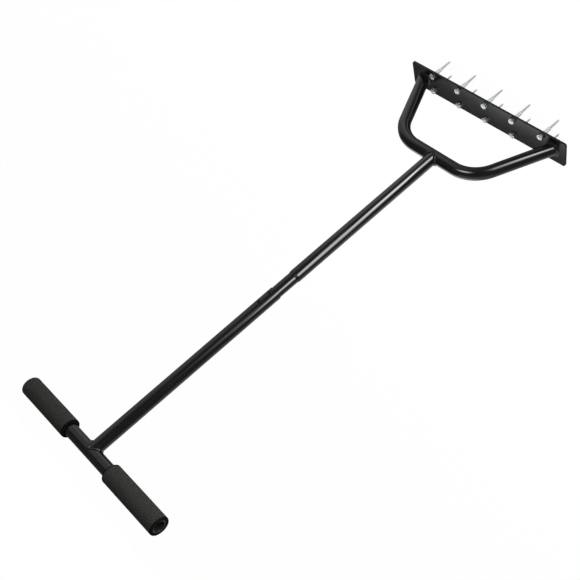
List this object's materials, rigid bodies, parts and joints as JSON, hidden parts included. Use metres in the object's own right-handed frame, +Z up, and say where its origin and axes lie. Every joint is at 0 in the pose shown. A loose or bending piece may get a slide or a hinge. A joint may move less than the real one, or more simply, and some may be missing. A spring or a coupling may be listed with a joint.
{
  "type": "lawn aerator fork",
  "caption": "Upright T-handled lawn aerator fork: foam grips, two-part tube shaft joined by snap buttons, bent yoke, and a flat foot plate carrying two rows of nutted spikes.",
  "frame": {"origin": "on the plane of the spike tips, under the shaft's axis, at the middle of the foot plate", "axes": "+Z up along the shaft to the handle; +X along the foot plate and the handle bar; +Y across the plate, to the side that the snap buttons look out of"},
  "size_m": [0.3376, 0.05, 0.9136],
  "materials": {
    "gloss_black": "gloss black powder coat on steel tube",
    "satin_black": "satin black powder coat on flat steel bar",
    "black_foam": "matte closed-cell foam",
    "black_plastic": "moulded black plastic",
    "black_steel": "black-coated pressed steel",
    "spring_steel": "bare spring steel strip",
    "zinc": "bright zinc plate with a bluish cast"
  },
  "bodies": {
    "frame": {"handle_bar": "gloss_black", "handle_weld": "gloss_black", "upper_shaft": "gloss_black", "lower_shaft": "gloss_black", "yoke": "gloss_black", "yoke_weld": "gloss_black", "left_foot_weld": "gloss_black", "right_foot_weld": "gloss_black", "spike_plate": "satin_black", "left_grip": "black_foam", "right_grip": "black_foam", "left_end_plug": "black_plastic", "right_end_plug": "black_plastic", "button_spring": "spring_steel", "front_spike_1": "zinc", "front_nut_1": "zinc", "front_spike_2": "zinc", "front_nut_2": "zinc", "front_spike_3": "zinc", "front_nut_3": "zinc", "front_spike_4": "zinc", "front_nut_4": "zinc", "front_spike_5": "zinc", "front_nut_5": "zinc", "back_spike_1": "zinc", "back_nut_1": "zinc", "back_spike_2": "zinc", "back_nut_2": "zinc", "back_spike_3": "zinc", "back_nut_3": "zinc", "back_spike_4": "zinc", "back_nut_4": "zinc", "back_spike_5": "zinc", "back_nut_5": "zinc"},
    "lower_button": {"lower_snap_button": "black_steel"},
    "upper_button": {"upper_snap_button": "black_steel"}
  },
  "joints": [
    {"name": "lower_button_press", "type": "slide", "parent": "frame", "child": "lower_button", "axis": [0, -1, 0], "range_m": [0, 0.003], "stiffness_N_per_m": 1500, "springref_m": -0.004, "deforming": ["button_spring"]},
    {"name": "upper_button_press", "type": "slide", "parent": "frame", "child": "upper_button", "axis": [0, -1, 0], "range_m": [0, 0.003], "stiffness_N_per_m": 1500, "springref_m": -0.004, "deforming": ["button_spring"]}
  ]
}
